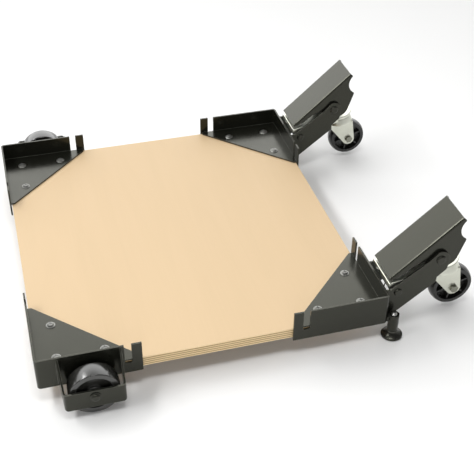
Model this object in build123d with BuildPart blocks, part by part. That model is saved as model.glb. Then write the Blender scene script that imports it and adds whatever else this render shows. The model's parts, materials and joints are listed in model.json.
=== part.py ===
from build123d import *
import math
import os

# Mobile machine base: a plywood deck held by four steel corner brackets, two fixed wheels on
# the left, and on the right two pedal levers that press swivel casters down past two levelling
# feet. Millimetres, +Z up, floor at z = 0, origin under the middle of the whole machine base.

# ---- deck and corner brackets
BASE_X = 570.0
BASE_Y = 625.0
WALL_BOTTOM = 32.0
WALL_H = 57.0
WALL_LEN = 163.0
SHEET = 3.0
BEND_R = 6.0
DECK_T = 18.0
DECK_GAP = 1.5
DECK_TOP = WALL_BOTTOM + 22.0
DECK_BOTTOM = DECK_TOP - DECK_T
PLATE_TOP = DECK_TOP + SHEET
PLATE_LEG = 160.0
PLATE_END = 6.0
SLOT_START = 135.5
SLOT_W = 11.5
SLOT_BOTTOM = WALL_BOTTOM + 19.5
SLOT_R = 3.0

# ---- screws through the corner plates
SCREW_SPOTS = ((35.0, 35.0), (110.0, 35.0), (35.0, 110.0))
SCREW_R = 2.2
SCREW_DEPTH = 16.0
SCREW_HEAD_R = 5.6
SCREW_HEAD_H = 2.4
WASHER_R = 7.8
WASHER_T = 1.2
FIT = 0.05

# ---- fixed wheels and their straps
FIXED_X = 82.0
FIXED_R = 40.0
FIXED_W = 28.0
FIXED_GAP = 2.5
STRAP_WALL_HALF = 49.5
STRAP_FRONT_HALF = 47.0
STRAP_REACH = {"front": 45.0, "back": 61.0}
STRAP_BOTTOM = WALL_BOTTOM - 12.5
STRAP_FRONT_TOP = {"front": WALL_BOTTOM + 20.7, "back": WALL_BOTTOM + 24.7}
STRAP_WALL_TOP = WALL_BOTTOM + 53.0
AXLE_R = 5.0
BUSH_R = 7.0
BOSS_R = 9.0
BUSH_LEN = FIXED_W + FIXED_GAP + 1.4

# ---- pedal levers: centres from the front face, places from the outer face of the right walls
ARM_CENTRES = {"front": 55.0, "back": 553.5}
ARM_INNER = 73.0
ARM_T = 3.0
PEDAL_W = 68.0
PEDAL_T = 2.5
PEDAL_PIVOT = (89.0, WALL_BOTTOM + 102.0)
PEDAL_PIN_R = 5.0
PEDAL_PIN_HEAD = (8.0, 3.0)
LIFT_PIVOT = (20.0, WALL_BOTTOM + 49.0)
LIFT_PIN_R = 4.0
LIFT_PIN_HEAD = (7.0, 3.0)
LIFT_TILT = 7.0
LIFT_W = 68.6
LIFT_T = 2.5
LIFT_TOP = 18.5
LIFT_INNER_END = -13.0
CAM_FLAT_R = 31.9

# ---- casters, in the tilted frame of the lift plate
SWIVEL_U = 98.0
AXLE_U = 110.5
AXLE_V = -49.2
CASTER_R = 38.1
CASTER_W = 24.0
FORK_HALF = 16.5
FORK_T = 2.5
CROWN_TOP = 4.0
CROWN_R = 24.0
CAP_R = 22.0
BALL_R = 2.4
BALL_RING_R = 16.0
BALL_COUNT = 16
KINGPIN_R = 5.0
KINGPIN_NUT = (16.0, 8.0)
CASTER_BOLT_R = 4.0
CASTER_BOLT_HEAD = (13.0, 5.0)
CASTER_NUT = (13.0, 6.0)
CASTER_BUSH_R = 6.0

# ---- levelling feet
FOOT_X = 12.0
FOOT_INSET = 3.0
FOOT_TUBE_R = 9.0
FOOT_TUBE_BOTTOM = WALL_BOTTOM - 17.0
FOOT_TUBE_TOP = WALL_BOTTOM + 10.0
FOOT_STUD_R = 5.0
FOOT_STUD_TOP = WALL_BOTTOM + 17.0
FOOT_R = 18.0
FOOT_NUT = (17.0, 4.0)

TILT = math.radians(LIFT_TILT)
CASTER_REACH = LIFT_PIVOT[0] + AXLE_U * math.cos(TILT) - AXLE_V * math.sin(TILT) + CASTER_R
X_LEFT = -(BASE_X + CASTER_REACH) / 2
X_RIGHT = X_LEFT + BASE_X
X_MIDDLE = X_LEFT + BASE_X / 2
Y_MIDDLE = (STRAP_REACH["front"] - STRAP_REACH["back"]) / 2
Y_FRONT = Y_MIDDLE - BASE_Y / 2
FIXED_AXLE_Z = FIXED_R
LEFT_RIGHT = Plane(origin=(X_MIDDLE, 0, 0), z_dir=(1, 0, 0))
FRONT_BACK = Plane(origin=(0, Y_MIDDLE, 0), z_dir=(0, 1, 0))


def save(part, name):
    part.label = name
    export_step(part, f"parts/{name}.step")


def side_plane(y):
    """Upright drawing plane facing the front: x outward from the right walls, y up from the floor."""
    return Plane(origin=(X_RIGHT, y, 0), x_dir=(1, 0, 0), z_dir=(0, -1, 0))


def lift_side_plane(y):
    """The same plane tilted with the lift plate, with its origin on the lift pivot."""
    origin = (X_RIGHT + LIFT_PIVOT[0], y, LIFT_PIVOT[1])
    return Plane(origin=origin, x_dir=(math.cos(TILT), 0, math.sin(TILT)), z_dir=(0, -1, 0))


def lift_point(u, y, v):
    """World place of a point given along and above the tilted lift plate."""
    x = X_RIGHT + LIFT_PIVOT[0] + u * math.cos(TILT) - v * math.sin(TILT)
    z = LIFT_PIVOT[1] + u * math.sin(TILT) + v * math.cos(TILT)
    return (x, y, z)


def swivel_plane(u, y, v):
    """Plane square to the swivel axis, its normal pointing up the axis."""
    x_dir = (math.cos(TILT), 0, math.sin(TILT))
    return Plane(origin=lift_point(u, y, v), x_dir=x_dir, z_dir=(-math.sin(TILT), 0, math.cos(TILT)))


# ---- deck

def deck_panel():
    with BuildPart() as deck:
        with Locations((X_MIDDLE, Y_MIDDLE, DECK_BOTTOM)):
            Box(
                BASE_X - 2 * (SHEET + DECK_GAP),
                BASE_Y - 2 * (SHEET + DECK_GAP),
                DECK_T,
                align=(Align.CENTER, Align.CENTER, Align.MIN),
            )
        fillet(deck.edges().filter_by(Axis.Z), BEND_R)
        spots = [
            (X_MIDDLE + sx * (BASE_X / 2 - a), Y_MIDDLE + sy * (BASE_Y / 2 - b), DECK_TOP)
            for sx in (-1, 1)
            for sy in (-1, 1)
            for a, b in SCREW_SPOTS
        ]
        with Locations(*spots):
            Cylinder(
                SCREW_R + FIT,
                SCREW_DEPTH,
                align=(Align.CENTER, Align.CENTER, Align.MAX),
                mode=Mode.SUBTRACT,
            )
    return deck.part


def corner_bracket():
    """Front left bracket: a bent wall with two open slots, and the plate that clamps the deck."""
    corner = (X_LEFT, Y_FRONT, WALL_BOTTOM)
    with BuildPart() as bracket:
        with BuildSketch(Plane(origin=corner)):
            with BuildLine():
                Polyline(
                    (0, 0),
                    (WALL_LEN, 0),
                    (WALL_LEN, SHEET),
                    (SHEET, SHEET),
                    (SHEET, WALL_LEN),
                    (0, WALL_LEN),
                    close=True,
                )
            make_face()
        extrude(amount=WALL_H)
        upright = bracket.edges().filter_by(Axis.Z)
        fillet(upright.sort_by_distance((X_LEFT, Y_FRONT, WALL_BOTTOM + WALL_H / 2))[0], BEND_R)
        inner = (X_LEFT + SHEET, Y_FRONT + SHEET, WALL_BOTTOM + WALL_H / 2)
        upright = bracket.edges().filter_by(Axis.Z)
        fillet(upright.sort_by_distance(inner)[0], BEND_R - SHEET)
        slot_height = WALL_BOTTOM + WALL_H - SLOT_BOTTOM
        slot_middle = SLOT_START + SLOT_W / 2
        for origin, x_dir, z_dir in (
            ((X_LEFT, Y_FRONT, SLOT_BOTTOM), (1, 0, 0), (0, -1, 0)),
            ((X_LEFT, Y_FRONT, SLOT_BOTTOM), (0, 1, 0), (1, 0, 0)),
        ):
            with BuildSketch(Plane(origin=origin, x_dir=x_dir, z_dir=z_dir)) as slot:
                with Locations((slot_middle, slot_height / 2)):
                    Rectangle(SLOT_W, slot_height)
                fillet(slot.vertices().group_by(Axis.Y)[0], SLOT_R)
            extrude(amount=2 * SHEET, both=True, mode=Mode.SUBTRACT)
        with BuildSketch(Plane(origin=(X_LEFT, Y_FRONT, DECK_TOP))):
            with BuildLine():
                Polyline(
                    (SHEET, SHEET),
                    (PLATE_LEG, SHEET),
                    (PLATE_LEG, SHEET + PLATE_END),
                    (SHEET + PLATE_END, PLATE_LEG),
                    (SHEET, PLATE_LEG),
                    close=True,
                )
            make_face()
            with Locations(*SCREW_SPOTS):
                Circle(SCREW_R + FIT, mode=Mode.SUBTRACT)
        extrude(amount=SHEET)
    return bracket.part


def deck_screws():
    """Three cross-head screws of the front left corner, each on its own washer."""
    cross_length = 7.0
    cross_width = 1.3
    cross_depth = 1.6
    dome_slope = 32
    with BuildPart() as screws:
        for a, b in SCREW_SPOTS:
            with Locations((X_LEFT + a, Y_FRONT + b, PLATE_TOP)):
                Cylinder(WASHER_R, WASHER_T, align=(Align.CENTER, Align.CENTER, Align.MIN))
                Cylinder(
                    SCREW_R,
                    SCREW_DEPTH + SHEET - FIT,
                    align=(Align.CENTER, Align.CENTER, Align.MAX),
                )
        chamfer(screws.edges().group_by(Axis.Z)[-1], WASHER_T / 2)
        for a, b in SCREW_SPOTS:
            with BuildSketch(Plane(origin=(X_LEFT + a, Y_FRONT + b, PLATE_TOP + WASHER_T))):
                Circle(SCREW_HEAD_R)
            extrude(amount=SCREW_HEAD_H, taper=dome_slope)
            with Locations((X_LEFT + a, Y_FRONT + b, PLATE_TOP + WASHER_T + SCREW_HEAD_H)):
                for length, width in ((cross_length, cross_width), (cross_width, cross_length)):
                    Box(
                        length,
                        width,
                        cross_depth,
                        align=(Align.CENTER, Align.CENTER, Align.MAX),
                        mode=Mode.SUBTRACT,
                    )
    return screws.part


def at_corner(part, right, back):
    """The front left part moved to one of the other corners by mirroring."""
    if right:
        part = mirror(part, about=LEFT_RIGHT)
    if back:
        part = mirror(part, about=FRONT_BACK)
    return part


# ---- fixed wheels, drawn at the front and mirrored to the back

def wheel_strap(reach, front_top):
    """Bent strap welded to the front left wall; its front plate carries the axle bolt."""
    plan_r = 6.0
    corner_r = 5.0
    middle = X_LEFT + FIXED_X
    with BuildPart() as strap:
        with BuildSketch(Plane(origin=(middle, Y_FRONT, STRAP_BOTTOM))) as plan:
            with BuildLine():
                Polyline(
                    (-STRAP_WALL_HALF, 0),
                    (-STRAP_FRONT_HALF, -reach),
                    (STRAP_FRONT_HALF, -reach),
                    (STRAP_WALL_HALF, 0),
                    close=True,
                )
            make_face()
            fillet(plan.vertices().group_by(Axis.Y)[0], plan_r)
        extrude(amount=STRAP_WALL_TOP - STRAP_BOTTOM)
        with BuildSketch(Plane(origin=(middle, Y_FRONT, STRAP_BOTTOM))) as hollow:
            with BuildLine():
                Polyline(
                    (-STRAP_WALL_HALF + SHEET, 0),
                    (-STRAP_FRONT_HALF + SHEET, -reach + SHEET),
                    (STRAP_FRONT_HALF - SHEET, -reach + SHEET),
                    (STRAP_WALL_HALF - SHEET, 0),
                    close=True,
                )
            make_face()
            fillet(hollow.vertices().group_by(Axis.Y)[0], plan_r - SHEET)
        extrude(amount=STRAP_WALL_TOP - STRAP_BOTTOM, mode=Mode.SUBTRACT)
        with BuildSketch(Plane(origin=(middle, Y_FRONT, 0), x_dir=(0, 1, 0), z_dir=(1, 0, 0))):
            with BuildLine():
                Polyline(
                    (0, WALL_BOTTOM),
                    (-reach, STRAP_BOTTOM),
                    (-reach, front_top),
                    (-reach + SHEET, front_top),
                    (0, STRAP_WALL_TOP),
                    close=True,
                )
            make_face()
        extrude(amount=STRAP_WALL_HALF + 1, both=True, mode=Mode.INTERSECT)
        upright = Plane(origin=(middle, Y_FRONT, 0), x_dir=(1, 0, 0), z_dir=(0, -1, 0))
        with BuildSketch(upright) as face:
            with BuildLine():
                Polyline(
                    (-STRAP_FRONT_HALF, STRAP_BOTTOM),
                    (STRAP_FRONT_HALF, STRAP_BOTTOM),
                    (STRAP_WALL_HALF, WALL_BOTTOM),
                    (STRAP_WALL_HALF, STRAP_WALL_TOP),
                    (-STRAP_WALL_HALF, STRAP_WALL_TOP),
                    (-STRAP_WALL_HALF, WALL_BOTTOM),
                    close=True,
                )
            make_face()
            fillet(face.vertices().group_by(Axis.Y)[0], corner_r)
        extrude(amount=reach, mode=Mode.INTERSECT)
        with BuildSketch(front_plane(Y_FRONT)):
            Circle(AXLE_R + FIT)
        extrude(amount=reach, mode=Mode.SUBTRACT)
    return strap.part


def front_plane(y):
    """Plane across the front fixed wheel's axle, its normal pointing to the front."""
    return Plane(origin=(X_LEFT + FIXED_X, y, FIXED_AXLE_Z), x_dir=(1, 0, 0), z_dir=(0, -1, 0))


def fixed_wheel(reach):
    """Turned profile: crowned tread, a raised lip and a dished web round the hub, on both sides."""
    hub_r = 13.0
    lip_r = 31.0
    dish_r = 28.5
    dish = 6.0
    crown = 1.0
    shoulder_r = 2.0
    half = FIXED_W / 2
    middle = (X_LEFT + FIXED_X, Y_FRONT - reach + SHEET + FIXED_GAP + half, FIXED_AXLE_Z)
    with BuildPart() as wheel:
        with BuildSketch(Plane(origin=middle, x_dir=(0, 1, 0), z_dir=(1, 0, 0))) as profile:
            with BuildLine():
                Polyline(
                    (-half, FIXED_R - crown),
                    (-half, lip_r),
                    (-half + 1, lip_r - 1),
                    (-half + dish, dish_r),
                    (-half + dish, hub_r),
                    (-half, hub_r),
                    (-half, BUSH_R + FIT),
                    (half, BUSH_R + FIT),
                    (half, hub_r),
                    (half - dish, hub_r),
                    (half - dish, dish_r),
                    (half - 1, lip_r - 1),
                    (half, lip_r),
                    (half, FIXED_R - crown),
                )
                ThreePointArc((half, FIXED_R - crown), (0, FIXED_R), (-half, FIXED_R - crown))
            make_face()
            fillet(profile.vertices().group_by(Axis.Y)[-1], shoulder_r)
        revolve(axis=Axis(middle, (0, 1, 0)))
    return wheel.part


def fixed_bush(reach):
    with BuildPart() as bush:
        with BuildSketch(front_plane(Y_FRONT - reach + SHEET + BUSH_LEN)):
            Circle(BUSH_R)
            Circle(AXLE_R + FIT, mode=Mode.SUBTRACT)
        extrude(amount=BUSH_LEN)
    return bush.part


def fixed_boss(reach):
    """Spacer boss welded to the wall behind the wheel; the axle bolt is screwed into it."""
    with BuildPart() as boss:
        with BuildSketch(front_plane(Y_FRONT)):
            Circle(BOSS_R)
            Circle(AXLE_R + FIT, mode=Mode.SUBTRACT)
        extrude(amount=reach - SHEET - BUSH_LEN)
    return boss.part


def fixed_axle_bolt(reach):
    """Axle bolt with a round flange and a domed head outside the strap."""
    flange_r = 8.5
    flange_t = 1.6
    dome_r = 6.6
    dome_h = 3.6
    dome_share = 0.9
    with BuildPart() as bolt:
        with BuildSketch(front_plane(Y_FRONT - FIT)):
            Circle(AXLE_R)
        extrude(amount=reach - FIT)
        with BuildSketch(front_plane(Y_FRONT - reach)):
            Circle(flange_r)
        extrude(amount=flange_t)
        with BuildSketch(front_plane(Y_FRONT - reach - flange_t)):
            Circle(dome_r)
        extrude(amount=dome_h)
        fillet(bolt.faces().sort_by(Axis.Y)[0].edges(), dome_h * dome_share)
    return bolt.part


# ---- levers; y is the middle of the lever

def arm_plate(y, side):
    """Side plate of the lever housing, welded upright to the right wall; side is -1 or +1."""
    end_r = 15.5
    top_angle = math.radians(112)
    weld_top = WALL_BOTTOM + 56.0
    belly_start = (11.0, WALL_BOTTOM)
    belly_end = (85.5, WALL_BOTTOM + 57.0)
    throat = (86.5, WALL_BOTTOM + 67.0)
    back_start = (6.0, weld_top)
    back_end = (70.0, WALL_BOTTOM + 103.0)
    chin_drop = 22.0
    chin_inset = 3.0
    near = y + side * ARM_INNER / 2 - (ARM_T if side < 0 else 0)
    px, pz = PEDAL_PIVOT
    end_top = (px + end_r * math.cos(top_angle), pz + end_r * math.sin(top_angle))
    end_middle = (px + end_r * math.cos(top_angle / 2), pz + end_r * math.sin(top_angle / 2))
    with BuildPart() as plate:
        with BuildSketch(side_plane(near)):
            with BuildLine():
                Polyline(
                    (px + end_r, pz),
                    (px + end_r - chin_inset / 6, pz - chin_drop / 2),
                    (px + end_r - chin_inset, pz - chin_drop),
                    throat,
                    belly_end,
                    belly_start,
                    (0, WALL_BOTTOM),
                    (0, weld_top),
                    back_start,
                    back_end,
                    end_top,
                )
                ThreePointArc(end_top, end_middle, (px + end_r, pz))
            make_face()
            with Locations(PEDAL_PIVOT):
                Circle(PEDAL_PIN_R + FIT, mode=Mode.SUBTRACT)
            with Locations(LIFT_PIVOT):
                Circle(LIFT_PIN_R + FIT, mode=Mode.SUBTRACT)
        extrude(amount=-ARM_T)
    return plate.part


def pivot_pin(y, pivot, pin_r, head):
    """Pin through both arm plates, with a domed head, given as radius and height, at each end."""
    head_r, head_h = head
    dome_share = 0.85
    half = ARM_INNER / 2 + ARM_T
    with BuildPart() as pin:
        with BuildSketch(side_plane(y + half)):
            with Locations(pivot):
                Circle(pin_r)
        extrude(amount=2 * half)
        for origin, amount in ((y - half, head_h), (y + half, -head_h)):
            with BuildSketch(side_plane(origin)):
                with Locations(pivot):
                    Circle(head_r)
            extrude(amount=amount)
        ends = pin.faces().filter_by(Axis.Y).sort_by(Axis.Y)
        fillet(ends[0].edges() + ends[-1].edges(), head_h * dome_share)
    return pin.part


def pedal(y):
    """Pedal: a channel, open below, whose two side flanges end in the cams under the pivot."""
    px, pz = PEDAL_PIVOT
    top_angle = math.radians(41.0)
    along = (math.cos(top_angle), math.sin(top_angle))
    square = (-along[1], along[0])
    roof = 34.2
    inner_end = -81.5
    outer_end = 72.0
    bend_r = 4.0
    toe_r = 3.0
    tip_r = 2.5
    flange_drop = 90.0
    # flange outline: places along the pedal with depths under the top, then cam radii with angles
    flange_edge = ((-27.0, 16.0), (-40.0, 12.0), (-62.0, 11.5), (inner_end, 4.0))
    tip = (outer_end + 1.5, 8.0)
    notch = (55.0, 17.5)
    toe = (52.3, 39.8)
    cam_r = 25.2
    cam_start, cam_middle, cam_end = (-57.0, -113.0, -172.0)
    cam_lead = ((CAM_FLAT_R, -11.5), (30.0, -27.0), (26.4, -43.0))

    def at(s, t):
        """Point s along the top plate and t below its outside, measured from over the pivot."""
        height = roof - t
        return (px + s * along[0] + height * square[0], pz + s * along[1] + height * square[1])

    def about(radius, degrees):
        """Point at a radius and an angle about the pivot."""
        turn = math.radians(degrees)
        return (px + radius * math.cos(turn), pz + radius * math.sin(turn))

    with BuildPart() as lever:
        with BuildSketch(side_plane(y - PEDAL_W / 2)) as outline:
            with BuildLine():
                Polyline(
                    about(cam_r, cam_end),
                    *[at(s, t) for s, t in flange_edge],
                    at(inner_end, 0),
                    at(outer_end, 0),
                    at(*tip),
                )
                ThreePointArc(at(*tip), at(*notch), at(*toe))
                Polyline(at(*toe), *[about(r, a) for r, a in cam_lead], about(cam_r, cam_start))
                ThreePointArc(about(cam_r, cam_start), about(cam_r, cam_middle), about(cam_r, cam_end))
            make_face()
            for corner, corner_r in ((toe, toe_r), (tip, tip_r)):
                fillet(outline.vertices().sort_by_distance((*at(*corner), 0))[0], corner_r)
        extrude(amount=-PEDAL_W)
        roof_axis = Axis((0, 0, 0), (square[0], 0, square[1]))
        long_axis = Axis((0, 0, 0), (along[0], 0, along[1]))
        fillet(lever.edges().filter_by(long_axis).group_by(roof_axis)[-1], bend_r)
        with BuildSketch(side_plane(y - PEDAL_W / 2 + PEDAL_T)):
            with BuildLine():
                Polyline(
                    at(inner_end - 1, PEDAL_T),
                    at(outer_end + 9, PEDAL_T),
                    at(outer_end + 9, flange_drop),
                    at(inner_end - 1, flange_drop),
                    close=True,
                )
            make_face()
        extrude(amount=-(PEDAL_W - 2 * PEDAL_T), mode=Mode.SUBTRACT)
        with BuildSketch(side_plane(y - PEDAL_W / 2)):
            with Locations(PEDAL_PIVOT):
                Circle(PEDAL_PIN_R + FIT)
        extrude(amount=-PEDAL_W, mode=Mode.SUBTRACT)
    return lever.part


def lift_plate(y):
    """Hinged plate that carries the caster: a channel, open below, with a turned-down inner lip."""
    outer_end = 123.0
    end_r = LIFT_W / 2
    round_u = outer_end - end_r
    bend_r = 1.5
    ear_r = 9.0
    waist = (30.0, 5.0)
    flange_end = 84.0
    flange_end_h = 7.0
    lip_drop = 11.0
    lip_gap = (3.0, 22.0)
    under = LIFT_TOP - LIFT_T
    with BuildPart() as plate:
        with BuildSketch(swivel_plane(0, y, under)):
            with Locations(((LIFT_INNER_END + round_u) / 2, 0)):
                Rectangle(round_u - LIFT_INNER_END, LIFT_W)
            with Locations((round_u, 0)):
                Circle(end_r)
        extrude(amount=LIFT_T)
        fillet(plate.faces().sort_by(swivel_axis(y))[-1].edges(), bend_r)
        for start in (y - LIFT_W / 2, y + LIFT_W / 2 - LIFT_T):
            with BuildSketch(lift_side_plane(start)):
                with BuildLine():
                    Polyline(
                        (LIFT_INNER_END, under),
                        (LIFT_INNER_END, under - lip_drop),
                        (-ear_r, 0),
                    )
                    ThreePointArc((-ear_r, 0), (0, -ear_r), (ear_r, 0))
                    Polyline(
                        (ear_r, 0),
                        waist,
                        (flange_end, under - flange_end_h),
                        (flange_end, under),
                        (LIFT_INNER_END, under),
                    )
                make_face()
            extrude(amount=-LIFT_T)
        with BuildSketch(lift_side_plane(y - LIFT_W / 2 + LIFT_T)):
            with Locations((LIFT_INNER_END + LIFT_T / 2, under - lip_drop / 2)):
                Rectangle(LIFT_T, lip_drop)
        extrude(amount=-(LIFT_W - 2 * LIFT_T))
        with BuildSketch(lift_side_plane(y + lip_gap[0])):
            with Locations((LIFT_INNER_END + LIFT_T / 2, under - lip_drop / 2 - 1)):
                Rectangle(2 * LIFT_T, lip_drop)
        extrude(amount=-(lip_gap[1] - lip_gap[0]), mode=Mode.SUBTRACT)
        with BuildSketch(lift_side_plane(y - LIFT_W / 2)):
            Circle(LIFT_PIN_R + FIT)
        extrude(amount=-LIFT_W, mode=Mode.SUBTRACT)
        with BuildSketch(swivel_plane(SWIVEL_U, y, under)):
            Circle(KINGPIN_R + FIT)
        extrude(amount=LIFT_T, mode=Mode.SUBTRACT)
    return plate.part


def lift_spring(y):
    """Torsion spring wound round the lift pin, one leg under the lift plate, one by the wall."""
    wire_r = 1.0
    coil_r = 7.5
    pitch = 2.3
    turns = 7
    plate_end = (28.0, LIFT_TOP - LIFT_T - wire_r - 0.4)
    wall_end = (-17.2, -19.5)
    exit_angle = tangent_angle(plate_end, coil_r, 1)
    entry_angle = tangent_angle(wall_end, coil_r, -1)
    swept = (entry_angle - exit_angle) % 360 + 360 * turns
    length = pitch * swept / 360
    front = lift_side_plane(y - length / 2)
    back = lift_side_plane(y + length / 2)
    coil = Helix(pitch, length, coil_r, lefthand=False)
    coil = (front * Rot(Y=180) * Rot(Z=180 - entry_angle)) * coil
    entry = coil @ 0
    exit_point = coil @ 1
    with BuildPart() as spring:
        with BuildLine() as wire:
            Line(front.from_local_coords((*wall_end, 0)), entry)
            add(coil)
            Line(exit_point, back.from_local_coords((*plate_end, 0)))
        with BuildSketch(Plane(origin=wire.line @ 0, z_dir=wire.line % 0)):
            Circle(wire_r)
        sweep(path=wire.line, is_frenet=True)
    return spring.part


def tangent_angle(end, radius, side):
    """Angle on a circle at the origin from which a tangent line reaches the end point."""
    reach = math.hypot(*end)
    return math.degrees(math.atan2(end[1], end[0]) + side * math.acos(radius / reach))


# ---- casters

def race_cap(y):
    """Upper swivel race: a disc clamped under the lift plate, with a skirt round the balls."""
    under = LIFT_TOP - LIFT_T
    ball_top = CROWN_TOP + 2 * (BALL_R + FIT)
    skirt_t = 1.6
    skirt_end = CROWN_TOP + 0.6
    rim_round = 2.0
    with BuildPart() as cap:
        with BuildSketch(swivel_plane(SWIVEL_U, y, ball_top)):
            Circle(CAP_R)
            Circle(KINGPIN_R + FIT, mode=Mode.SUBTRACT)
        extrude(amount=under - ball_top)
        with BuildSketch(swivel_plane(SWIVEL_U, y, skirt_end)):
            Circle(CAP_R)
            Circle(CAP_R - skirt_t, mode=Mode.SUBTRACT)
        extrude(amount=ball_top - skirt_end)
        top_circles = cap.edges().filter_by(GeomType.CIRCLE).group_by(swivel_axis(y))[-1]
        fillet(top_circles.sort_by(SortBy.RADIUS)[-1], rim_round)
    return cap.part


def swivel_axis(y):
    return Axis(lift_point(SWIVEL_U, y, 0), (-math.sin(TILT), 0, math.cos(TILT)))


def swivel_balls(y):
    middle = CROWN_TOP + BALL_R + FIT
    with BuildPart() as balls:
        with Locations(swivel_plane(SWIVEL_U, y, middle)):
            with PolarLocations(BALL_RING_R, BALL_COUNT):
                Sphere(BALL_R)
    return balls.part


def kingpin(y):
    """Kingpin bolt: head inside the fork crown, shank up through race and lift plate."""
    head_r = 8.5
    head_top = 1.2
    head_bottom = -3.6
    shank_top = LIFT_TOP + 9.5
    tip_break = 0.8
    with BuildPart() as pin:
        with BuildSketch(swivel_plane(SWIVEL_U, y, head_bottom)):
            Circle(head_r)
        extrude(amount=head_top - head_bottom)
        with BuildSketch(swivel_plane(SWIVEL_U, y, head_top)):
            Circle(KINGPIN_R)
        extrude(amount=shank_top - head_top)
        chamfer(pin.faces().sort_by(swivel_axis(y))[-1].edges(), tip_break)
    return pin.part


def hex_nut(plane, size, bore_r):
    """Nut standing on a plane, its size given as width across flats and height."""
    across_flats, height = size
    corner_left = 0.6
    with BuildPart() as nut:
        with BuildSketch(plane):
            RegularPolygon(across_flats / 2, 6, major_radius=False)
        extrude(amount=height)
        with BuildSketch(plane):
            Circle(across_flats / 2 + corner_left)
        extrude(amount=height, mode=Mode.INTERSECT)
        with BuildSketch(plane):
            Circle(bore_r)
        extrude(amount=height, mode=Mode.SUBTRACT)
    return nut.part


def fork(y):
    """Caster fork: two side plates under a crown plate, with a pressed cup for the swivel race."""
    crown_v = -6.0
    crown_u = (76.0, 122.0)
    cup_r = 26.0
    cup_t = 2.5
    cup_skin = 2.0
    eye_r = 13.0
    bend_r = 4.0
    shoulder = (crown_u[0] - 0.5, crown_v - 12.0)
    eye_inner = (AXLE_U - 9.8, AXLE_V - 8.5)
    eye_outer = (AXLE_U + eye_r - 0.4, AXLE_V - 3.0)
    hollow = (120.0, 80.0)
    across = 2 * FORK_HALF
    section = Plane(
        origin=lift_point(SWIVEL_U, y, 0),
        x_dir=(math.cos(TILT), 0, math.sin(TILT)),
        z_dir=(0, -1, 0),
    )
    with BuildPart() as body:
        with BuildSketch(lift_side_plane(y - FORK_HALF)):
            with BuildLine():
                Polyline((crown_u[0], crown_v), shoulder, eye_inner)
                ThreePointArc(eye_inner, (AXLE_U, AXLE_V - eye_r), eye_outer)
                Polyline(eye_outer, (crown_u[1], crown_v), (crown_u[0], crown_v))
            make_face()
        extrude(amount=-across)
        long_axis = Axis((0, 0, 0), (0, 1, 0))
        top = body.edges().filter_by(long_axis, reverse=True).group_by(swivel_axis(y))[-1]
        fillet(top, bend_r)
        with BuildSketch(lift_side_plane(y - FORK_HALF + FORK_T)):
            with Locations((AXLE_U, crown_v - FORK_T - hollow[1] / 2)):
                Rectangle(*hollow)
        extrude(amount=-(across - 2 * FORK_T), mode=Mode.SUBTRACT)
        with BuildSketch(section):
            with BuildLine():
                Polyline(
                    (0, CROWN_TOP),
                    (CROWN_R - cup_skin, CROWN_TOP),
                    (cup_r, crown_v),
                    (cup_r, crown_v - cup_t),
                    (0, crown_v - cup_t),
                    close=True,
                )
            make_face()
        revolve(axis=swivel_axis(y))
        with BuildSketch(section):
            with BuildLine():
                Polyline(
                    (0, CROWN_TOP - cup_t),
                    (CROWN_R - cup_skin - cup_t, CROWN_TOP - cup_t),
                    (cup_r - cup_t - 0.5, crown_v - cup_t),
                    (0, crown_v - cup_t),
                    close=True,
                )
            make_face()
        revolve(axis=swivel_axis(y), mode=Mode.SUBTRACT)
        with BuildSketch(swivel_plane(SWIVEL_U, y, crown_v)):
            Circle(KINGPIN_R + FIT)
        extrude(amount=CROWN_TOP - crown_v, mode=Mode.SUBTRACT)
        with BuildSketch(lift_side_plane(y - FORK_HALF)):
            with Locations((AXLE_U, AXLE_V)):
                Circle(CASTER_BOLT_R + FIT)
        extrude(amount=-across, mode=Mode.SUBTRACT)
    return body.part


def caster_wheel(y):
    """Caster wheel: thick crowned rim, thin web, six ribs a side and a hub."""
    half = CASTER_W / 2
    rim_r = 29.0
    hub_r = 10.0
    hub_half = FORK_HALF - FORK_T - 0.5
    web_half = 2.0
    rib_t = 3.0
    shoulder = 3.0
    rib_inset = 2.5
    ribs = 6
    first_rib = 20
    across = lift_point(AXLE_U, y, AXLE_V)
    axis = Axis(across, (0, 1, 0))
    with BuildPart() as wheel:
        with BuildSketch(Plane(origin=across, x_dir=(0, 1, 0), z_dir=(1, 0, 0))):
            with BuildLine():
                Polyline(
                    (-half, CASTER_R - shoulder),
                    (-half, rim_r),
                    (-web_half, rim_r - 1),
                    (-web_half, hub_r),
                    (-hub_half, hub_r - 1),
                    (-hub_half, CASTER_BUSH_R + FIT),
                    (hub_half, CASTER_BUSH_R + FIT),
                    (hub_half, hub_r - 1),
                    (web_half, hub_r),
                    (web_half, rim_r - 1),
                    (half, rim_r),
                    (half, CASTER_R - shoulder),
                )
                ThreePointArc((half, CASTER_R - shoulder), (0, CASTER_R), (-half, CASTER_R - shoulder))
            make_face()
        revolve(axis=axis)
        with BuildSketch(Plane(origin=across, x_dir=(1, 0, 0), z_dir=(0, -1, 0))):
            with PolarLocations((rim_r + hub_r) / 2, ribs, start_angle=first_rib):
                Rectangle(rim_r - hub_r + 2, rib_t)
        extrude(amount=half - rib_inset, both=True)
    return wheel.part


def caster_bush(y):
    with BuildPart() as bush:
        with BuildSketch(lift_side_plane(y - FORK_HALF + FORK_T)):
            with Locations((AXLE_U, AXLE_V)):
                Circle(CASTER_BUSH_R)
                Circle(CASTER_BOLT_R + FIT, mode=Mode.SUBTRACT)
        extrude(amount=-2 * (FORK_HALF - FORK_T))
    return bush.part


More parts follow.
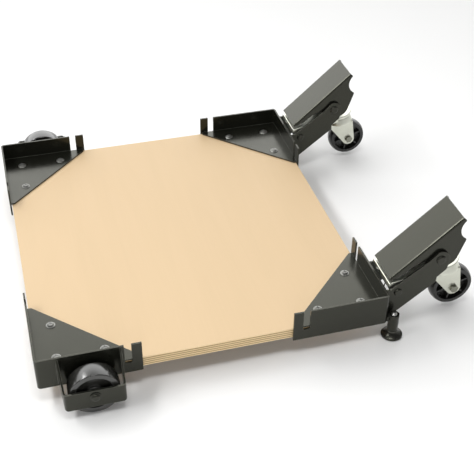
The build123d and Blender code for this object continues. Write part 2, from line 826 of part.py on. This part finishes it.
def caster_axle_bolt(y):
    """Hexagon-head axle bolt through the fork, its head on the near side."""
    head_flats, head_h = CASTER_BOLT_HEAD
    thread_out = 7.0
    corner_break = 0.8
    with BuildPart() as bolt:
        with BuildSketch(lift_side_plane(y + FORK_HALF + thread_out)):
            with Locations((AXLE_U, AXLE_V)):
                Circle(CASTER_BOLT_R)
        extrude(amount=2 * FORK_HALF + thread_out)
        with BuildSketch(lift_side_plane(y - FORK_HALF)):
            with Locations((AXLE_U, AXLE_V)):
                RegularPolygon(head_flats / 2, 6, major_radius=False)
        extrude(amount=head_h)
        chamfer(bolt.faces().sort_by(Axis.Y)[0].edges(), corner_break)
    return bolt.part


# ---- levelling feet; y is the middle of the foot

def foot_tube(y, inward):
    """Threaded tube on a short lug welded to the right wall; inward is +1 or -1 towards the deck."""
    lug_h = 9.0
    lug_z = WALL_BOTTOM
    spot = (X_RIGHT + FOOT_X, y, FOOT_TUBE_BOTTOM)
    with BuildPart() as tube:
        with Locations(spot):
            Cylinder(
                FOOT_TUBE_R,
                FOOT_TUBE_TOP - FOOT_TUBE_BOTTOM,
                align=(Align.CENTER, Align.CENTER, Align.MIN),
            )
        with Locations((X_RIGHT, y + inward * (FOOT_TUBE_R / 2 - FOOT_INSET / 2 + 1), lug_z)):
            Box(FOOT_X, FOOT_TUBE_R, lug_h, align=(Align.MIN, Align.CENTER, Align.MIN))
        with Locations(spot):
            Cylinder(
                FOOT_STUD_R + FIT,
                FOOT_TUBE_TOP - FOOT_TUBE_BOTTOM,
                align=(Align.CENTER, Align.CENTER, Align.MIN),
                mode=Mode.SUBTRACT,
            )
    return tube.part


def levelling_foot(y):
    """Foot with a conical pad and its threaded stud, in one piece."""
    rim_h = 4.5
    cone_top_r = 9.0
    cone_top = FOOT_TUBE_BOTTOM - 1.0
    spot = Plane(origin=(X_RIGHT + FOOT_X, y, 0), x_dir=(1, 0, 0), z_dir=(0, -1, 0))
    with BuildPart() as foot:
        with BuildSketch(spot):
            with BuildLine():
                Polyline(
                    (0, 0),
                    (FOOT_R - 1, 0),
                    (FOOT_R, 1),
                    (FOOT_R, rim_h),
                    (FOOT_R - 1.5, rim_h + 0.8),
                    (cone_top_r, cone_top - 2),
                    (cone_top_r, cone_top),
                    (FOOT_STUD_R, cone_top),
                    (FOOT_STUD_R, FOOT_STUD_TOP - 1),
                    (FOOT_STUD_R - 1, FOOT_STUD_TOP),
                    (0, FOOT_STUD_TOP),
                    close=True,
                )
            make_face()
        revolve(axis=Axis((X_RIGHT + FOOT_X, y, 0), (0, 0, 1)))
    return foot.part


def build_base():
    save(deck_panel(), "deck_panel")
    for right, side in ((False, "left"), (True, "right")):
        for back, end in ((False, "front"), (True, "back")):
            save(at_corner(corner_bracket(), right, back), f"bracket_{end}_{side}")
            save(at_corner(deck_screws(), right, back), f"deck_screws_{end}_{side}")
    for back, end in ((False, "front"), (True, "back")):
        strap = wheel_strap(STRAP_REACH[end], STRAP_FRONT_TOP[end])
        save(at_corner(strap, False, back), f"wheel_strap_{end}")
        save(at_corner(fixed_wheel(STRAP_REACH[end]), False, back), f"fixed_wheel_{end}")
        save(at_corner(fixed_bush(STRAP_REACH[end]), False, back), f"fixed_wheel_bush_{end}")
        save(at_corner(fixed_boss(STRAP_REACH[end]), False, back), f"axle_boss_{end}")
        save(at_corner(fixed_axle_bolt(STRAP_REACH[end]), False, back), f"fixed_axle_bolt_{end}")


def build_levers():
    for end, from_front in ARM_CENTRES.items():
        y = Y_FRONT + from_front
        save(arm_plate(y, -1), f"arm_plate_{end}_near")
        save(arm_plate(y, 1), f"arm_plate_{end}_far")
        save(pivot_pin(y, PEDAL_PIVOT, PEDAL_PIN_R, PEDAL_PIN_HEAD), f"pedal_pin_{end}")
        save(pivot_pin(y, LIFT_PIVOT, LIFT_PIN_R, LIFT_PIN_HEAD), f"lift_pin_{end}")
        save(pedal(y), f"pedal_{end}")
        save(lift_plate(y), f"lift_plate_{end}")
        save(lift_spring(y), f"lift_spring_{end}")
        save(race_cap(y), f"race_cap_{end}")
        save(swivel_balls(y), f"swivel_balls_{end}")
        save(kingpin(y), f"kingpin_{end}")
        nut_plane = swivel_plane(SWIVEL_U, y, LIFT_TOP)
        save(hex_nut(nut_plane, KINGPIN_NUT, KINGPIN_R + FIT), f"kingpin_nut_{end}")
        save(fork(y), f"caster_fork_{end}")
        save(caster_wheel(y), f"caster_wheel_{end}")
        save(caster_bush(y), f"caster_bush_{end}")
        save(caster_axle_bolt(y), f"caster_axle_bolt_{end}")
        axle_plane = Plane(
            origin=lift_point(AXLE_U, y + FORK_HALF, AXLE_V),
            x_dir=(1, 0, 0),
            z_dir=(0, 1, 0),
        )
        save(hex_nut(axle_plane, CASTER_NUT, CASTER_BOLT_R + FIT), f"caster_axle_nut_{end}")


def build_feet():
    for end, inward in (("front", 1), ("back", -1)):
        y = Y_MIDDLE - inward * (BASE_Y / 2 - FOOT_INSET)
        save(foot_tube(y, inward), f"foot_tube_{end}")
        save(levelling_foot(y), f"levelling_foot_{end}")
        nut_plane = Plane(origin=(X_RIGHT + FOOT_X, y, FOOT_TUBE_TOP))
        save(hex_nut(nut_plane, FOOT_NUT, FOOT_STUD_R + FIT), f"foot_nut_{end}")


os.makedirs("parts", exist_ok=True)
build_base()
build_levers()
build_feet()
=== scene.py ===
import json
import math

import bpy
from mathutils import Matrix, Vector


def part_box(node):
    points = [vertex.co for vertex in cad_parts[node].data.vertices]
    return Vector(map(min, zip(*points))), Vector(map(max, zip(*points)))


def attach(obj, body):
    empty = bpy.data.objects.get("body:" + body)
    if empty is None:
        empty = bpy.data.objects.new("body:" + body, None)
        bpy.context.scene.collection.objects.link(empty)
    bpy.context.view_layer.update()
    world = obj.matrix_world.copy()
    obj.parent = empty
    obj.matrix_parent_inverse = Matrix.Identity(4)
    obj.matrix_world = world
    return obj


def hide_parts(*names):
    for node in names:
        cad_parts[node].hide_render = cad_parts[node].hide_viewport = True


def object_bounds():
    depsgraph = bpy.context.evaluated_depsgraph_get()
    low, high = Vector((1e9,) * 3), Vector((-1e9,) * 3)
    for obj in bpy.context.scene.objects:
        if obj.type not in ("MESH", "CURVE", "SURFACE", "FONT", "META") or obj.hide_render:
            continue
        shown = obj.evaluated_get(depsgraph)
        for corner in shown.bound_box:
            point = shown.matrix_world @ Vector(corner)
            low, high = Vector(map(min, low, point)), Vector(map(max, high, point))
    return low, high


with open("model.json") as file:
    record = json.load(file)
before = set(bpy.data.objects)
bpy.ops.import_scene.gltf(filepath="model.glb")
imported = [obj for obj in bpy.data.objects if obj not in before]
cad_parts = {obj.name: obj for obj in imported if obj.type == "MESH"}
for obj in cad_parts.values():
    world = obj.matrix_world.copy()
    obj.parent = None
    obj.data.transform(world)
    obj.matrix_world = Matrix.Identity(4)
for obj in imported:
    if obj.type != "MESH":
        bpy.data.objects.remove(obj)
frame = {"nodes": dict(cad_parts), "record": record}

# Mobile machine base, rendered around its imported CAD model: metres, +Z up, floor at z = 0.

MM = 0.001
cad_low, cad_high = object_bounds()
centre = (cad_low + cad_high) / 2
ENDS = ("front", "back")


# ---- shader building blocks

def new_material(name):
    """A node material and its Principled shader."""
    material = bpy.data.materials.new(name)
    material.use_nodes = True
    return material, material.node_tree, material.node_tree.nodes["Principled BSDF"]


def object_coords(tree):
    return tree.nodes.new("ShaderNodeTexCoord").outputs["Object"]


def stretched(tree, scale):
    """Object coordinates, in metres, scaled along each axis."""
    mapping = tree.nodes.new("ShaderNodeMapping")
    mapping.inputs["Scale"].default_value = scale
    tree.links.new(object_coords(tree), mapping.inputs["Vector"])
    return mapping.outputs["Vector"]


def noise(tree, coords, scale, detail=3.0, roughness=0.5, distortion=0.0):
    node = tree.nodes.new("ShaderNodeTexNoise")
    node.inputs["Scale"].default_value = scale
    node.inputs["Detail"].default_value = detail
    node.inputs["Roughness"].default_value = roughness
    node.inputs["Distortion"].default_value = distortion
    tree.links.new(coords, node.inputs["Vector"])
    return node.outputs["Fac"]


def ramp(tree, value, *stops):
    """Colour ramp: each stop is a position and a grey level or an RGB colour."""
    node = tree.nodes.new("ShaderNodeValToRGB")
    elements = node.color_ramp.elements
    while len(elements) < len(stops):
        elements.new(0.5)
    for element, (position, colour) in zip(elements, stops):
        element.position = position
        rgb = (colour,) * 3 if isinstance(colour, (int, float)) else colour
        element.color = (*rgb, 1.0)
    tree.links.new(value, node.inputs["Fac"])
    return node.outputs["Color"]


def mixed(tree, share, first, second, blend="MIX"):
    """Mix of two colours; each input is a socket or a constant."""
    node = tree.nodes.new("ShaderNodeMix")
    node.data_type = "RGBA"
    node.blend_type = blend
    inputs = ((node.inputs[0], share), (node.inputs[6], first), (node.inputs[7], second))
    for socket, value in inputs:
        if isinstance(value, bpy.types.NodeSocket):
            tree.links.new(value, socket)
        elif isinstance(value, tuple):
            socket.default_value = (*value, 1.0)
        else:
            socket.default_value = value
    return node.outputs[2]


def calculated(tree, operation, first, second=0.0):
    """Result of a math node; each input is a socket or a number."""
    node = tree.nodes.new("ShaderNodeMath")
    node.operation = operation
    for socket, value in zip(node.inputs, (first, second)):
        if isinstance(value, bpy.types.NodeSocket):
            tree.links.new(value, socket)
        else:
            socket.default_value = value
    return node.outputs[0]


def mapped(tree, value, from_low, from_high, to_low, to_high):
    """The value carried over from one range to another, and held at its ends."""
    node = tree.nodes.new("ShaderNodeMapRange")
    for name, number in (
        ("From Min", from_low),
        ("From Max", from_high),
        ("To Min", to_low),
        ("To Max", to_high),
    ):
        node.inputs[name].default_value = number
    tree.links.new(value, node.inputs["Value"])
    return node.outputs["Result"]


def bumped(tree, shader, height, distance, strength):
    """Fine relief on a shader, as high as the distance where the height is 1."""
    node = tree.nodes.new("ShaderNodeBump")
    node.inputs["Strength"].default_value = strength
    node.inputs["Distance"].default_value = distance
    tree.links.new(height, node.inputs["Height"])
    tree.links.new(node.outputs["Normal"], shader.inputs["Normal"])


def edge_share(tree, radius):
    """0 on flat faces, rising to 1 within the radius of a sharp edge."""
    flat_cosine = 0.99
    edge_cosine = 0.80
    rounded = tree.nodes.new("ShaderNodeBevel")
    rounded.samples = 4
    rounded.inputs["Radius"].default_value = radius
    geometry = tree.nodes.new("ShaderNodeNewGeometry")
    dot = tree.nodes.new("ShaderNodeVectorMath")
    dot.operation = "DOT_PRODUCT"
    tree.links.new(rounded.outputs["Normal"], dot.inputs[0])
    tree.links.new(geometry.outputs["True Normal"], dot.inputs[1])
    return mapped(tree, dot.outputs["Value"], flat_cosine, edge_cosine, 0.0, 1.0)


# ---- materials

def satin_paint(name, colour, edge_wear_and_highlight, roughness):
    """Black enamel: fine orange peel, uneven gloss, and a lighter colour along every sharp edge, partly
    paint rubbed thin in patches and partly a painted highlight of edges catching light.
    """
    material, tree, shader = new_material(name)
    coords = object_coords(tree)
    cloud = noise(tree, coords, 9.0, 4.0)
    darker = tuple(0.8 * c for c in colour)
    lighter = tuple(1.2 * c for c in colour)
    shade = ramp(tree, cloud, (0.3, darker), (0.7, lighter))
    patches = ramp(tree, noise(tree, coords, 70.0, 5.0, 0.7), (0.35, 0.3), (0.65, 1.0))
    # lighter colour along sharp edges: rubbed paint where the patches are strong, and everywhere at
    # least a painted highlight standing in for edges catching light
    rubbed_and_highlit = calculated(tree, "MULTIPLY", edge_share(tree, 1.0 * MM), patches)
    tree.links.new(mixed(tree, rubbed_and_highlit, shade, edge_wear_and_highlight), shader.inputs["Base Color"])
    smudges = noise(tree, coords, 22.0, 6.0, 0.62)
    level = mapped(tree, smudges, 0.3, 0.7, roughness - 0.04, roughness + 0.06)
    tree.links.new(level, shader.inputs["Roughness"])
    shader.inputs["Specular IOR Level"].default_value = 0.46
    shader.inputs["Specular Tint"].default_value = (1.0, 1.0, 0.82, 1.0)
    peel = noise(tree, coords, 700.0, 2.0)
    bumped(tree, shader, peel, 0.00010, 0.12)
    return material


def bright_metal(name, colour, dull, roughness, grain):
    """Plated or plain steel: faint drawn grain, and patches of a duller colour."""
    material, tree, shader = new_material(name)
    coords = object_coords(tree)
    patches = ramp(tree, noise(tree, coords, 45.0, 3.0, 0.5), (0.25, 0.0), (0.80, 1.0))
    tree.links.new(mixed(tree, patches, colour, dull), shader.inputs["Base Color"])
    shader.inputs["Metallic"].default_value = 1.0
    streaks = noise(tree, stretched(tree, grain), 1.0, 2.0, 0.5)
    level = mapped(tree, streaks, 0.3, 0.7, roughness - 0.02, roughness + 0.04)
    tree.links.new(level, shader.inputs["Roughness"])
    bumped(tree, shader, streaks, 0.00006, 0.10)
    return material


def moulded_plastic(name, colour, roughness, sparkle, gleam=0.5):
    """Moulded polymer: fine spark-eroded skin, slightly uneven gloss and scuffs."""
    material, tree, shader = new_material(name)
    coords = object_coords(tree)
    scuffs = ramp(tree, noise(tree, coords, 120.0, 6.0, 0.7), (0.55, 0.0), (0.75, 1.0))
    scuffed = tuple(1.6 * c for c in colour)
    tree.links.new(mixed(tree, scuffs, colour, scuffed), shader.inputs["Base Color"])
    gloss = noise(tree, coords, 30.0, 4.0)
    level = mapped(tree, gloss, 0.3, 0.7, roughness - 0.06, roughness + 0.08)
    tree.links.new(level, shader.inputs["Roughness"])
    shader.inputs["Specular IOR Level"].default_value = gleam
    bumped(tree, shader, noise(tree, coords, sparkle, 2.0), 0.00008, 0.25)
    return material


def plywood():
    """Thin pale face veneer over crossed plies that show as bands along the cut edge."""
    low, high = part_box("deck_panel")
    plies = 9
    material, tree, shader = new_material("plywood")
    coords = object_coords(tree)
    fibre = noise(tree, stretched(tree, (260.0, 9.0, 260.0)), 1.0, 5.0, 0.6, 0.4)
    figure = noise(tree, stretched(tree, (16.0, 1.6, 16.0)), 1.0, 4.0, 0.55, 1.2)
    late_wood = (0.512, 0.376, 0.221)
    mid_wood = (0.534, 0.392, 0.232)
    early_wood = (0.547, 0.403, 0.242)
    broad = ramp(tree, figure, (0.25, late_wood), (0.5, mid_wood), (0.8, early_wood))
    fine = ramp(tree, fibre, (0.3, (0.516, 0.378, 0.222)), (0.7, (0.541, 0.401, 0.241)))
    face = mixed(tree, 0.4, broad, fine)
    pores = noise(tree, stretched(tree, (900.0, 60.0, 900.0)), 1.0, 2.0)
    flecks = ramp(tree, pores, (0.66, 0.0), (0.76, 1.0))
    face = mixed(tree, calculated(tree, "MULTIPLY", flecks, 0.10), face, (0.50, 0.32, 0.17))
    # position through the thickness, wandering a little as real plies do
    height = tree.nodes.new("ShaderNodeSeparateXYZ")
    tree.links.new(coords, height.inputs[0])
    depth = mapped(tree, height.outputs["Z"], low.z, high.z, 0.0, plies)
    waves = noise(tree, stretched(tree, (12.0, 12.0, 0.0)), 1.0, 3.0)
    wander = mapped(tree, waves, 0.3, 0.7, -0.16, 0.16)
    depth = calculated(tree, "ADD", depth, wander)
    layer = calculated(tree, "FLOOR", depth)
    parity = calculated(tree, "PINGPONG", layer, 1.0)
    within = calculated(tree, "FRACT", depth)
    glue = ramp(tree, calculated(tree, "PINGPONG", within, 0.5), (0.05, 1.0), (0.14, 0.0))
    long_grain = noise(tree, stretched(tree, (20.0, 20.0, 900.0)), 1.0, 5.0, 0.65)
    end_grain = noise(tree, coords, 1500.0, 4.0, 0.7)
    pale = ramp(tree, long_grain, (0.3, (0.72, 0.55, 0.31)), (0.7, (0.88, 0.71, 0.43)))
    dark = ramp(tree, end_grain, (0.3, (0.30, 0.20, 0.09)), (0.75, (0.52, 0.36, 0.18)))
    bands = mixed(tree, parity, pale, dark)
    bands = mixed(tree, calculated(tree, "MULTIPLY", glue, 0.7), bands, (0.15, 0.085, 0.04))
    normal = tree.nodes.new("ShaderNodeSeparateXYZ")
    texture = tree.nodes.new("ShaderNodeTexCoord")
    tree.links.new(texture.outputs["Normal"], normal.inputs[0])
    flat = ramp(tree, calculated(tree, "ABSOLUTE", normal.outputs["Z"]), (0.45, 0.0), (0.75, 1.0))
    tree.links.new(mixed(tree, flat, bands, face), shader.inputs["Base Color"])
    tree.links.new(mapped(tree, fibre, 0.3, 0.7, 0.50, 0.62), shader.inputs["Roughness"])
    shader.inputs["Specular IOR Level"].default_value = 0.35
    edge_height = calculated(tree, "SUBTRACT", end_grain, glue)
    relief = mixed(tree, flat, edge_height, fibre)
    bumped(tree, shader, relief, 0.0002, 0.30)
    return material


# edge colour of the black paints: worn paint and a painted edge highlight
EDGE_WEAR_AND_HIGHLIGHT = (0.16, 0.16, 0.14)
DRAWN_GRAIN = (250.0, 250.0, 35.0)
SCREW_GRAIN = (400.0, 400.0, 400.0)
SPRING_GRAIN = (600.0, 600.0, 600.0)
BOLT_GRAIN = (300.0, 300.0, 300.0)

paint = satin_paint("satin_black_paint", (0.0075, 0.0078, 0.0058), EDGE_WEAR_AND_HIGHLIGHT, 0.21)
pedal_paint = satin_paint("pedal_black_paint", (0.0080, 0.0083, 0.0065), EDGE_WEAR_AND_HIGHLIGHT, 0.19)
hardware = satin_paint("blackened_hardware", (0.0085, 0.0085, 0.0070), EDGE_WEAR_AND_HIGHLIGHT, 0.24)
foot_black = satin_paint("foot_black", (0.0090, 0.0090, 0.0080), EDGE_WEAR_AND_HIGHLIGHT, 0.26)
zinc = bright_metal("bright_zinc", (0.70, 0.71, 0.62), (0.61, 0.62, 0.54), 0.36, DRAWN_GRAIN)
screw_zinc = bright_metal("screw_zinc", (0.25, 0.25, 0.235), (0.15, 0.15, 0.14), 0.30, SCREW_GRAIN)
spring_steel = bright_metal("spring_steel", (0.30, 0.29, 0.27), (0.18, 0.17, 0.16), 0.34, SPRING_GRAIN)
wheel_black = moulded_plastic("wheel_black", (0.0160, 0.0160, 0.0140), 0.22, 1400.0, 0.95)
caster_black = moulded_plastic("caster_wheel_black", (0.0085, 0.0085, 0.0075), 0.26, 1400.0, 0.6)
bolt_zinc = bright_metal("bolt_zinc", (0.30, 0.30, 0.25), (0.18, 0.18, 0.15), 0.22, BOLT_GRAIN)
stud_zinc = bright_metal("stud_zinc", (0.62, 0.62, 0.60), (0.45, 0.45, 0.43), 0.30, BOLT_GRAIN)
bush_plastic = moulded_plastic("bush_plastic", (0.05, 0.05, 0.05), 0.45, 1600.0)

FINISHES = {
    "plywood": plywood(),
    "black_paint": paint,
    "black_pedal": pedal_paint,
    "black_hardware": hardware,
    "foot_steel": foot_black,
    "zinc_plate": zinc,
    "screw_zinc": screw_zinc,
    "spring_steel": spring_steel,
    "wheel_black": wheel_black,
    "caster_wheel_black": caster_black,
    "bush_plastic": bush_plastic,
}


# ---- carried-over CAD nodes

def slot_of_nodes():
    """Material slot of each CAD node, as the record says."""
    return {part["node"]: part["material_slot"] for part in frame["record"]["subparts"]}


def finish_node(piece, material, edge):
    """Gives a CAD node its material and softens its sharp edges."""
    piece.data.materials.clear()
    piece.data.materials.append(material)
    weld = piece.modifiers.new("weld", "WELD")
    weld.merge_threshold = 0.002 * MM
    if edge:
        flatten = piece.modifiers.new("flatten", "DECIMATE")
        flatten.decimate_type = "DISSOLVE"
        flatten.angle_limit = math.radians(0.4)
        bevel = piece.modifiers.new("bevel", "BEVEL")
        bevel.width = edge
        bevel.segments = 2
        bevel.limit_method = "ANGLE"
        bevel.angle_limit = math.radians(35)
        bevel.miter_outer = "MITER_SHARP"
        bevel.use_clamp_overlap = True
    normals = piece.modifiers.new("normals", "WEIGHTED_NORMAL")
    normals.keep_sharp = True
    for face in piece.data.polygons:
        face.use_smooth = True


EDGES = {
    "plywood": 0.0008,
    "black_paint": 0.0007,
    "black_pedal": 0.0004,
    "black_hardware": 0.0003,
    "foot_steel": 0.0004,
    "zinc_plate": 0.0003,
    "screw_zinc": 0.0002,
    "spring_steel": 0.0,
    "wheel_black": 0.0012,
    "caster_wheel_black": 0.0010,
    "bush_plastic": 0.0003,
}

for name, slot in slot_of_nodes().items():
    material = bolt_zinc if name.startswith("caster_axle") else FINISHES[slot]
    finish_node(frame["nodes"][name], material, EDGES[slot])


# ---- pieces the CAD model doesn't show: weld beads, and the levelling feet with real threads

def mesh_piece(name, points, faces, material, body):
    """A smooth-shaded piece that rides on a CAD body."""
    mesh = bpy.data.meshes.new(name)
    mesh.from_pydata(points, [], faces)
    mesh.materials.append(material)
    mesh.shade_smooth()
    piece = bpy.data.objects.new(name, mesh)
    bpy.context.scene.collection.objects.link(piece)
    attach(piece, body)
    return piece


def skin(count, size):
    """Faces that join a count of rings, each of size points, and close both ends."""
    faces = [
        (r * size + k, r * size + (k + 1) % size, (r + 1) * size + (k + 1) % size, (r + 1) * size + k)
        for r in range(count - 1)
        for k in range(size)
    ]
    faces.append(tuple(reversed(range(size))))
    faces.append(tuple(range((count - 1) * size, count * size)))
    return faces


def weld_beads(name, corners, low_z, high_z):
    """Upright rippled beads centred on the corners, given as x and y, joined into one piece."""
    radius = 2.0 * MM
    ripple = 1.6 * MM
    around = 12
    steps = 72
    points = []
    faces = []
    for x, y in corners:
        first = len(points)
        for step in range(steps + 1):
            z = low_z + (high_z - low_z) * step / steps
            swell = 0.84 + 0.16 * abs(math.sin(math.pi * (z - low_z) / ripple))
            ends = min(1.0, 0.45 + 4.0 * min(step, steps - step) / steps)
            for k in range(around):
                turn = 2 * math.pi * k / around
                r = radius * swell * ends
                points.append((x + r * math.cos(turn), y + r * math.sin(turn), z))
        faces += [tuple(first + v for v in face) for face in skin(steps + 1, around)]
    return mesh_piece(name, points, faces, paint, "base")


def turned(name, x, y, profile, material, body):
    """A turned piece about an upright axis; its profile is (radius, height) pairs from the bottom up."""
    around = 96
    points = []
    for radius, z in profile:
        for k in range(around):
            turn = 2 * math.pi * k / around
            points.append((x + radius * math.cos(turn), y + radius * math.sin(turn), z))
    return mesh_piece(name, points, skin(len(profile), around), material, body)


def threaded_stud(name, x, y, low_z, high_z, outer, pitch, body):
    """A stud with a helical V thread, whose last turn tapers."""
    depth = 0.6 * pitch
    around = 48
    per_pitch = 6
    steps = int((high_z - low_z) / pitch * per_pitch)
    points = []
    for step in range(steps + 1):
        z = low_z + (high_z - low_z) * step / steps
        tip = min(1.0, (high_z - z) / pitch)
        for k in range(around):
            phase = (z / pitch - k / around) % 1.0
            cut = depth * (1 - abs(2 * phase - 1))
            radius = (outer - cut) * (0.8 + 0.2 * tip)
            turn = 2 * math.pi * k / around
            points.append((x + radius * math.cos(turn), y + radius * math.sin(turn), z))
    return mesh_piece(name, points, skin(steps + 1, around), stud_zinc, body)


def foot_profile(low, high_z, rim_r):
    """Half outline of the pad: soft rim, hollow cone and a short collar."""
    collar_r = 0.5 * rim_r
    collar_edge = 0.6 * MM
    collar_h = 2.5 * MM
    sole_edge = 1.2 * MM
    hollow_depth = 0.9 * MM
    slope_steps = 8
    rim_h = 4.5 * MM
    rim_round = 1.4 * MM
    arc = [
        (
            rim_r - rim_round + rim_round * math.cos(turn),
            low + rim_h - rim_round + rim_round * math.sin(turn),
        )
        for turn in [math.radians(a) for a in range(0, 91, 15)]
    ]
    slope = []
    start_r, start_z = arc[-1]
    end_z = high_z - collar_h
    for step in range(1, slope_steps + 1):
        share = step / slope_steps
        hollow = math.sin(math.pi * share) * hollow_depth
        radius = start_r + (collar_r - start_r) * share - hollow
        slope.append((radius, start_z + (end_z - start_z) * share))
    collar = [(collar_r, high_z - collar_edge), (collar_r - collar_edge, high_z)]
    sole = [(rim_r - sole_edge, low), (rim_r, low + sole_edge)]
    return sole + arc + slope + collar


def levelling_feet():
    """Each foot as two pieces: a black pad, and a zinc stud that shows its thread."""
    for end in ENDS:
        node = f"levelling_foot_{end}"
        body = f"foot_{end}_body"
        low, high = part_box(node)
        tube_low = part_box(f"foot_tube_{end}")[0]
        x = (low.x + high.x) / 2
        y = (low.y + high.y) / 2
        rim_r = (high.x - low.x) / 2
        collar_top = tube_low.z - 1.0 * MM
        profile = foot_profile(low.z, collar_top, rim_r)
        pad = turned(f"foot_pad_{end}", x, y, profile, foot_black, body)
        stud_r = 5.0 * MM
        stud_low = collar_top - 4.0 * MM
        stud = threaded_stud(f"foot_stud_{end}", x, y, stud_low, high.z, stud_r, 1.5 * MM, body)
        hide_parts(node)
        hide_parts(node)


def welds():
    """Beads where the lever plates and the wheel straps meet the outer wall faces."""
    clear = 4.0 * MM
    wall_h = 57.0 * MM
    for end in ENDS:
        for place in ("near", "far"):
            low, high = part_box(f"arm_plate_{end}_{place}")
            y = low.y if place == "near" else high.y
            top = low.z + wall_h - clear
            weld_beads(f"weld_arm_{end}_{place}", [(low.x, y)], low.z + clear, top)
        wall_low, wall_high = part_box(f"bracket_{end}_left")
        low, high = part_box(f"wheel_strap_{end}")
        y = wall_low.y if end == "front" else wall_high.y
        corners = [(low.x, y), (high.x, y)]
        weld_beads(f"weld_strap_{end}", corners, wall_low.z + clear, high.z - clear)


levelling_feet()
welds()


# ---- floor, light and camera

def floor():
    mesh = bpy.data.meshes.new("floor")
    half = 8.0
    corners = [(-half, -half, 0), (half, -half, 0), (half, half, 0), (-half, half, 0)]
    mesh.from_pydata(corners, [], [(0, 1, 2, 3)])
    piece = bpy.data.objects.new("floor", mesh)
    material, _, shader = new_material("pale_floor")
    shader.inputs["Base Color"].default_value = (0.78, 0.78, 0.775, 1.0)
    shader.inputs["Roughness"].default_value = 0.9
    shader.inputs["Specular IOR Level"].default_value = 0.1
    mesh.materials.append(material)
    bpy.context.scene.collection.objects.link(piece)


def softbox(name, place, aim, size, power, mirrored=True):
    """A rectangular light aimed at a point; reflections show it only when mirrored."""
    data = bpy.data.lights.new(name, "AREA")
    data.shape = "RECTANGLE"
    data.size, data.size_y = size
    data.energy = power
    lamp = bpy.data.objects.new(name, data)
    lamp.location = place
    lamp.visible_glossy = mirrored
    lamp.rotation_euler = (Vector(aim) - Vector(place)).to_track_quat("-Z", "Y").to_euler()
    bpy.context.scene.collection.objects.link(lamp)


def studio():
    """A studio: a pale surround, brightest behind the object, and three softboxes."""
    back_wall = 3.3
    world = bpy.data.worlds.new("studio")
    world.use_nodes = True
    tree = world.node_tree
    direction = tree.nodes.new("ShaderNodeSeparateXYZ")
    texture = tree.nodes.new("ShaderNodeTexCoord")
    tree.links.new(texture.outputs["Generated"], direction.inputs[0])
    behind = ramp(tree, direction.outputs["Y"], (0.15, 0.0), (0.75, 1.0))
    height = direction.outputs["Z"]
    rising = ramp(tree, height, (0.0, 0.0), (0.10, 1.0), (0.70, 0.9), (0.90, 0.3))
    glow = calculated(tree, "MULTIPLY", behind, rising)
    surround = ramp(tree, height, (0.0, 0.90), (0.20, 0.70), (0.42, 0.16))
    strength = calculated(tree, "MAXIMUM", calculated(tree, "MULTIPLY", glow, back_wall), surround)
    background = tree.nodes["Background"]
    background.inputs["Color"].default_value = (1.0, 1.0, 1.0, 1.0)
    tree.links.new(strength, background.inputs["Strength"])
    bpy.context.scene.world = world
    softbox("overhead", (-0.10, -0.75, 2.4), centre, (0.9, 0.6), 20.0)
    softbox("left", (-1.75, 0.25, 2.2), (0.28, -0.05, 0.17), (2.4, 0.45), 50.0)
    softbox("front", (-0.4, -2.6, 0.9), centre, (1.5, 1.0), 16.0, mirrored=False)
    bpy.context.scene.view_settings.view_transform = "Standard"


def camera():
    """The three-quarter view from the front left, looking down on the base."""
    azimuth = math.radians(-15.88)
    elevation = math.radians(37.54)
    roll = math.radians(0.52)
    distance = 1.7706
    aim = Vector((centre.x + 0.0309, centre.y, cad_low.z + 0.0054))
    right = Vector((math.cos(azimuth), math.sin(azimuth), 0.0))
    forward = Vector(
        (
            -math.sin(azimuth) * math.cos(elevation),
            math.cos(azimuth) * math.cos(elevation),
            -math.sin(elevation),
        )
    )
    up = right.cross(forward)
    rolled_right = right * math.cos(roll) + up * math.sin(roll)
    rolled_up = up * math.cos(roll) - right * math.sin(roll)
    turn = Matrix((rolled_right, rolled_up, -forward)).transposed().to_4x4()
    data = bpy.data.cameras.new("camera")
    data.lens = 71.35
    data.sensor_width = 36.0
    eye = bpy.data.objects.new("camera", data)
    eye.matrix_world = Matrix.Translation(aim - forward * distance) @ turn
    bpy.context.scene.collection.objects.link(eye)
    bpy.context.scene.camera = eye


floor()
studio()
camera()
